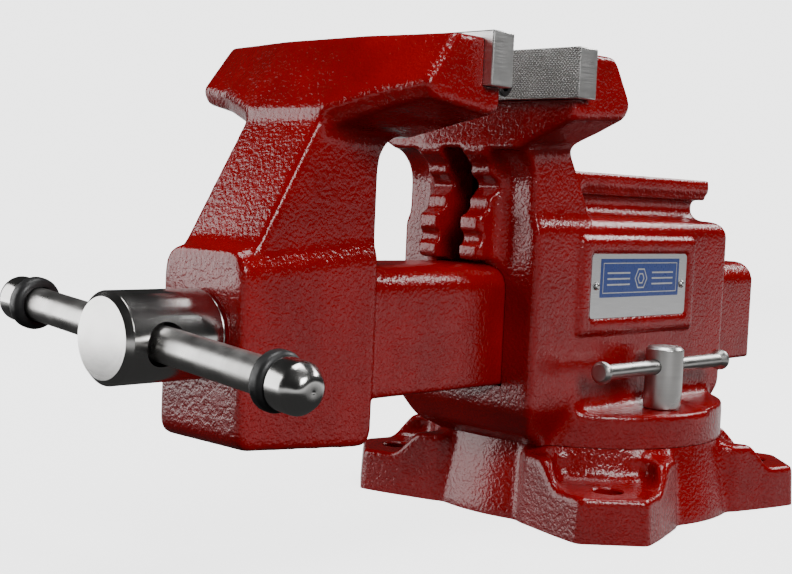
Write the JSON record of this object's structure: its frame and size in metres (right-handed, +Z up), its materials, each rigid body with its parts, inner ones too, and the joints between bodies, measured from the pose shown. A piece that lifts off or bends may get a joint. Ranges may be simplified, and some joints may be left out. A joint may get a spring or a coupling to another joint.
{
  "type": "bench vise",
  "caption": "Cast bench vise on a swivel base, with replaceable serrated jaw faces, pipe jaws, an anvil, a sliding tommy bar and side lockdown bolts.",
  "frame": {"origin": "on the bench plane, at the swivel axis of the base", "axes": "+Z up, +Y from the handle to the rear along the slide bar, +X along the jaws towards the name plate"},
  "size_m": [0.2112, 0.4912, 0.2462],
  "materials": {
    "casting_paint": "gloss, pebbled cast texture",
    "jaw_steel": "ground, serrated face",
    "bright_steel": "turned, bright",
    "black_steel": "black oxide",
    "grey_iron": "matte",
    "plate_metal": "satin with a printed blue field",
    "rubber": "satin"
  },
  "bodies": {
    "base": {"swivel_base": "casting_paint", "pivot_bolt": "black_steel", "pivot_washer": "bright_steel"},
    "body": {"vise_body": "casting_paint", "rear_jaw_insert": "jaw_steel", "rear_insert_screw_right": "black_steel", "rear_insert_screw_left": "black_steel", "name_plate": "plate_metal", "plate_rivet_front": "bright_steel", "plate_rivet_rear": "bright_steel", "spindle_nut": "grey_iron", "spindle_nut_bolt": "black_steel", "t_nut_right": "black_steel", "t_nut_left": "black_steel"},
    "front_jaw": {"front_jaw": "casting_paint", "front_jaw_insert": "jaw_steel", "front_insert_screw_right": "black_steel", "front_insert_screw_left": "black_steel"},
    "spindle": {"spindle_screw": "bright_steel", "spindle_head": "bright_steel", "thrust_washer": "bright_steel", "retaining_collar": "bright_steel", "head_pin": "black_steel", "collar_pin": "black_steel"},
    "handle": {"handle_bar": "bright_steel", "handle_knob_right": "bright_steel", "handle_knob_left": "bright_steel", "handle_ring_right": "rubber", "handle_ring_left": "rubber"},
    "lock_bolt_right": {"lock_bolt_right": "bright_steel"},
    "lock_bar_right": {"lock_bar_right": "bright_steel"},
    "lock_bolt_left": {"lock_bolt_left": "bright_steel"},
    "lock_bar_left": {"lock_bar_left": "bright_steel"}
  },
  "joints": [
    {"name": "body_swivel", "type": "hinge", "parent": "base", "child": "body", "pos_m": [0, 0, 0.0413], "axis": [0, 0, 1], "continuous": true},
    {"name": "jaw_slide", "type": "slide", "parent": "body", "child": "front_jaw", "axis": [0, -1, 0], "range_m": [-0.0496, 0.1021]},
    {"name": "spindle_turn", "type": "hinge", "parent": "front_jaw", "child": "spindle", "pos_m": [0, -0.318, 0.1072], "axis": [0, -1, 0], "range_deg": [-3564, 7344]},
    {"name": "handle_slide", "type": "slide", "parent": "spindle", "child": "handle", "axis": [0.9963, 0, -0.0854], "range_m": [-0.0638, 0.0578]},
    {"name": "lock_turn_right", "type": "hinge", "parent": "body", "child": "lock_bolt_right", "pos_m": [0.064, -0.009, 0.0594], "axis": [0, 0, 1], "range_deg": [-5.3, 5.3]},
    {"name": "lock_bar_slide_right", "type": "slide", "parent": "lock_bolt_right", "child": "lock_bar_right", "axis": [0, 1, 0], "range_m": [-0.0455, 0.0455]},
    {"name": "lock_turn_left", "type": "hinge", "parent": "body", "child": "lock_bolt_left", "pos_m": [-0.064, -0.009, 0.0594], "axis": [0, 0, 1], "range_deg": [-5.3, 5.3]},
    {"name": "lock_bar_slide_left", "type": "slide", "parent": "lock_bolt_left", "child": "lock_bar_left", "axis": [0, 1, 0], "range_m": [-0.0455, 0.0455]}
  ],
  "couplings": [
    {"joint": "jaw_slide", "follows": "spindle_turn", "m_per_rad": 0.00079577}
  ]
}
